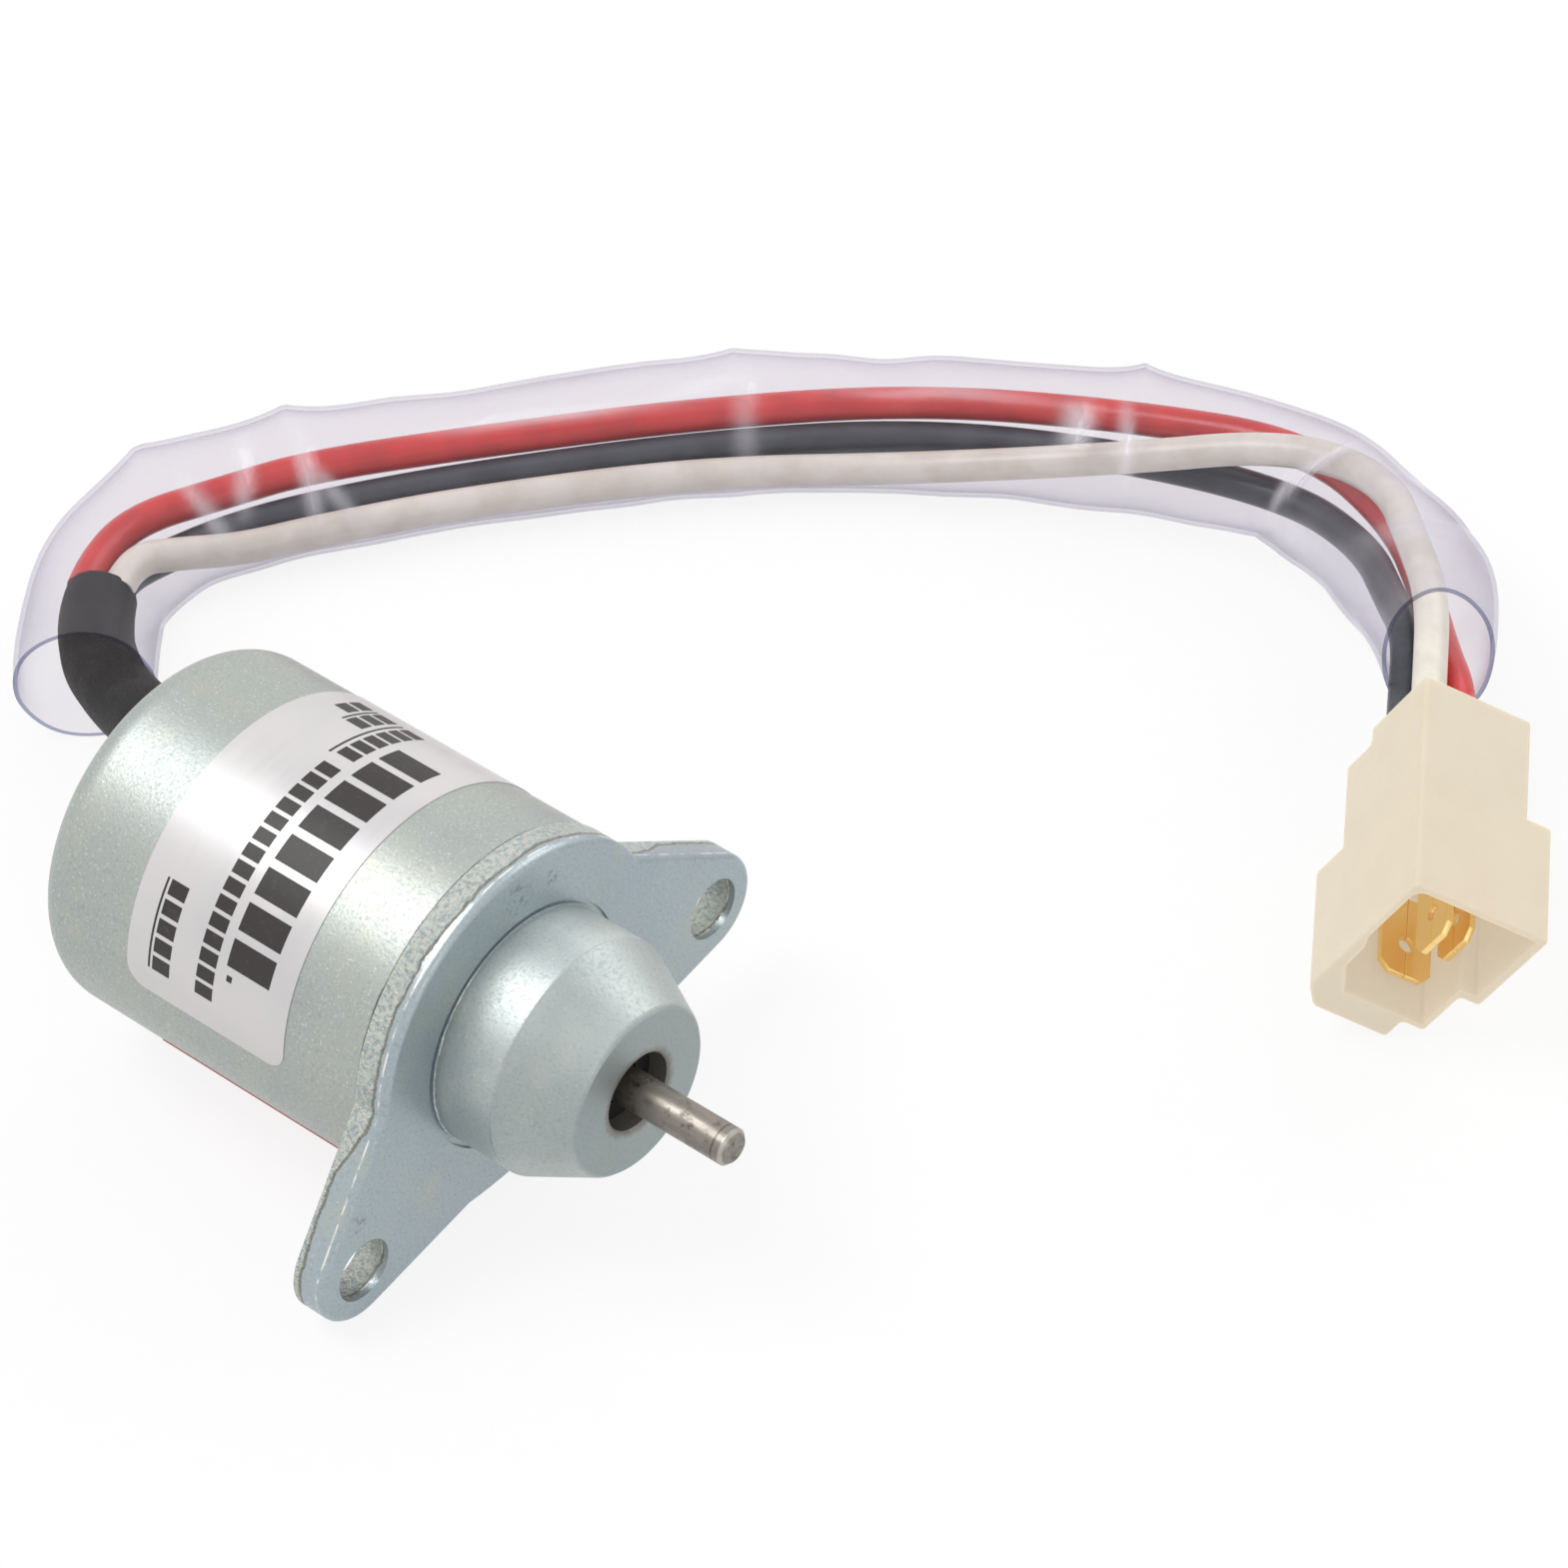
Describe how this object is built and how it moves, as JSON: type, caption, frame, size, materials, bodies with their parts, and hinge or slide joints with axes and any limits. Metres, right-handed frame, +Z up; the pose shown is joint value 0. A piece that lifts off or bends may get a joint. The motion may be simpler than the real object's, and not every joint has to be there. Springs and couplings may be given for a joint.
{
  "type": "fuel shutoff solenoid",
  "caption": "Spring-returned push solenoid with a round can, a two-hole flange, a tapered nose and three sleeved leads to a keyed plug.",
  "frame": {"origin": "on the solenoid's axis, at the front face of the mounting flange", "axes": "+X out along the nose and push rod, +Z up as it lies on the table"},
  "size_m": [0.1769, 0.1667, 0.0418],
  "materials": {
    "zinc_can": "zinc plated, satin, fine sparkle grain",
    "zinc_flange": "zinc plated, smooth satin, bluish",
    "zinc_nose": "zinc plated, satin",
    "bare_steel": "drawn bar, bare, with small dark pits",
    "soft_iron": "turned, plain",
    "spring_steel": "drawn wire",
    "bronze": "sintered, oiled",
    "brass_tube": "drawn, plain",
    "blade_brass": "bright, stamped",
    "coil_copper": "enamelled winding",
    "coil_tape": "woven tape",
    "coil_plastic": "moulded, dark",
    "black_rubber": "matte",
    "red_insulation": "soft gloss",
    "black_insulation": "soft gloss",
    "white_insulation": "soft gloss",
    "clear_vinyl": "clear thin tube, lilac tint, creased",
    "natural_nylon": "moulded, ivory, a little translucent",
    "label_silver": "satin silver-white foil, bare",
    "label_red": "satin, bare"
  },
  "bodies": {
    "housing": {"housing_can": "zinc_can", "mounting_flange": "zinc_flange", "nose": "zinc_nose", "rod_bushing": "bronze", "rod_seal": "black_rubber", "bumper_ring": "black_rubber", "pole_plate": "soft_iron", "spring_washer": "spring_steel", "rear_pole": "soft_iron", "pole_shim": "brass_tube", "guide_tube": "brass_tube", "bobbin": "coil_plastic", "pull_winding": "coil_copper", "hold_winding": "coil_copper", "coil_tape": "coil_tape", "return_spring": "spring_steel", "nameplate_label": "label_silver", "underside_label": "label_red", "cable_grommet": "black_rubber", "lead_boot": "black_rubber", "clear_sleeve": "clear_vinyl", "black_lead": "black_insulation", "white_lead": "white_insulation", "red_lead": "red_insulation", "connector_housing": "natural_nylon", "ground_blade": "blade_brass", "pull_blade": "blade_brass", "hold_blade": "blade_brass"},
    "plunger": {"plunger": "soft_iron", "push_rod": "bare_steel", "rod_pin": "spring_steel"}
  },
  "joints": [
    {"name": "plunger_slide", "type": "slide", "parent": "housing", "child": "plunger", "axis": [-1, 0, 0], "range_m": [0, 0.012], "stiffness_N_per_m": 1600, "springref_m": -0.006, "deforming": ["return_spring"]}
  ]
}
